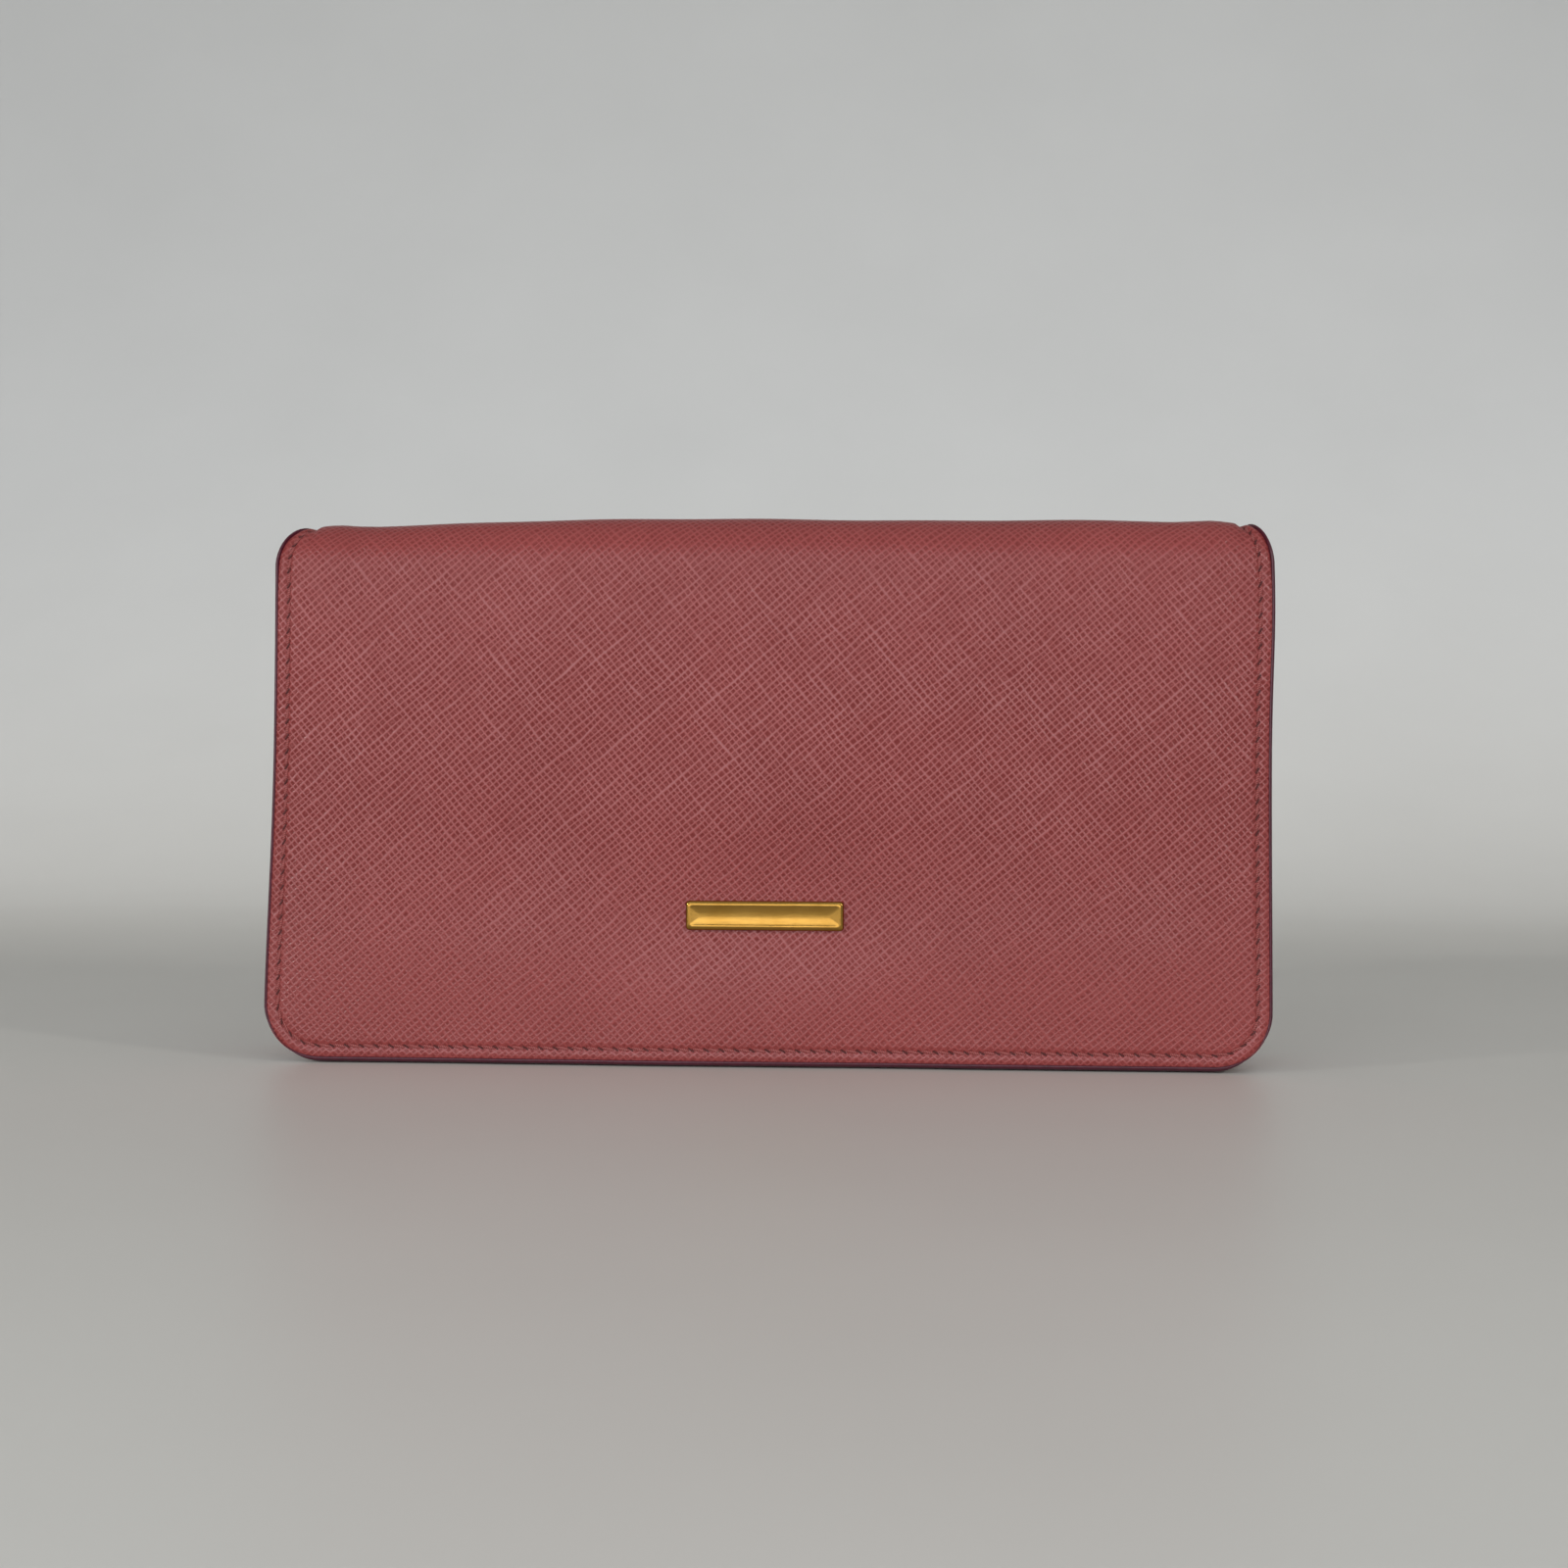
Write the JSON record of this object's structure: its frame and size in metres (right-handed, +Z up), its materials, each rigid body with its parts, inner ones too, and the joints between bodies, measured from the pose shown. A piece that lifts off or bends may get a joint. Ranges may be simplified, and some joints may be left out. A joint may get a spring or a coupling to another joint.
{
  "type": "wristlet wallet",
  "caption": "Long leather flap wallet with a full front flap, snap, zipped coin pocket, card pockets, side gussets and a ring for a wrist strap.",
  "frame": {"origin": "centre of the lower edge's outline on the surface that the wallet stands on, midway from front to back", "axes": "+X to the right seen from the front, +Y to the rear, +Z up"},
  "size_m": [0.19, 0.0294, 0.104],
  "materials": {
    "rose_leather": "coated cross-grain leather, rose, satin",
    "lining_leather": "fine smooth lining leather, rose, matt",
    "board": "grey fibre board",
    "thread": "waxed polyester sewing thread, rose",
    "zip_tape": "woven polyester tape, rose",
    "gold_metal": "polished, gold coloured"
  },
  "bodies": {
    "back": {"back_cover": "rose_leather", "back_board": "board", "back_lining": "lining_leather", "back_stitching": "thread", "rear_fold": "rose_leather", "card_backing": "lining_leather", "card_pocket_1": "lining_leather", "card_pocket_2": "lining_leather", "card_pocket_3": "lining_leather", "card_pocket_4": "lining_leather", "base_gusset": "rose_leather", "left_gusset": "rose_leather", "right_gusset": "rose_leather", "ring_tab": "rose_leather"},
    "spine": {"spine_cover": "rose_leather", "spine_board": "board", "spine_lining": "lining_leather", "front_fold": "rose_leather"},
    "flap": {"flap_cover": "rose_leather", "flap_board": "board", "flap_lining": "lining_leather", "flap_stitching": "thread", "front_plate": "gold_metal", "plate_washers": "gold_metal", "snap_cap": "gold_metal", "snap_socket": "gold_metal"},
    "front_pocket": {"front_panel": "rose_leather", "front_board": "board", "front_lining": "lining_leather", "front_stitching": "thread", "snap_stud": "gold_metal", "snap_rivet": "gold_metal"},
    "coin_pocket": {"coin_wall_front": "lining_leather", "coin_wall_back": "lining_leather", "coin_sides": "lining_leather", "coin_base": "lining_leather", "zip_tape_front": "zip_tape", "zip_tape_back": "zip_tape", "zip_teeth_front": "gold_metal", "zip_teeth_back": "gold_metal", "zip_stops": "gold_metal"},
    "zip_slider": {"slider_body": "gold_metal"},
    "zip_puller": {"puller": "gold_metal"},
    "strap_ring": {"d_ring": "gold_metal"}
  },
  "joints": [
    {"name": "spine_fold", "type": "hinge", "parent": "back", "child": "spine", "pos_m": [0, 0.01243, 0.10173], "axis": [-1, 0, 0], "range_deg": [0, 90], "deforming": ["rear_fold"]},
    {"name": "flap_fold", "type": "hinge", "parent": "spine", "child": "flap", "pos_m": [0, -0.0108, 0.1013], "axis": [-1, 0, 0], "range_deg": [0, 90], "deforming": ["front_fold"]},
    {"name": "front_open", "type": "hinge", "parent": "back", "child": "front_pocket", "pos_m": [0, -0.009, 0], "axis": [1, 0, 0], "range_deg": [0, 14], "deforming": ["left_gusset", "right_gusset"]},
    {"name": "coin_open", "type": "hinge", "parent": "back", "child": "coin_pocket", "pos_m": [0, -0.0017, 0.004], "axis": [1, 0, 0], "range_deg": [0, 7]},
    {"name": "zip_slide", "type": "slide", "parent": "coin_pocket", "child": "zip_slider", "axis": [1, 0, 0], "range_m": [-0.1299, 0]},
    {"name": "puller_swing", "type": "hinge", "parent": "zip_slider", "child": "zip_puller", "pos_m": [0.06495, 0.0016, 0.0808], "axis": [0, 1, 0], "range_deg": [0, 180]},
    {"name": "ring_swing", "type": "hinge", "parent": "back", "child": "strap_ring", "pos_m": [-0.0798, 0.00845, 0.0926], "axis": [-1, 0, 0], "range_deg": [0, 150]}
  ],
  "couplings": [
    {"joint": "flap_fold", "follows": "spine_fold", "ratio": 1},
    {"joint": "front_open", "follows": "spine_fold", "ratio": 0.155},
    {"joint": "coin_open", "follows": "spine_fold", "ratio": 0.0775}
  ]
}
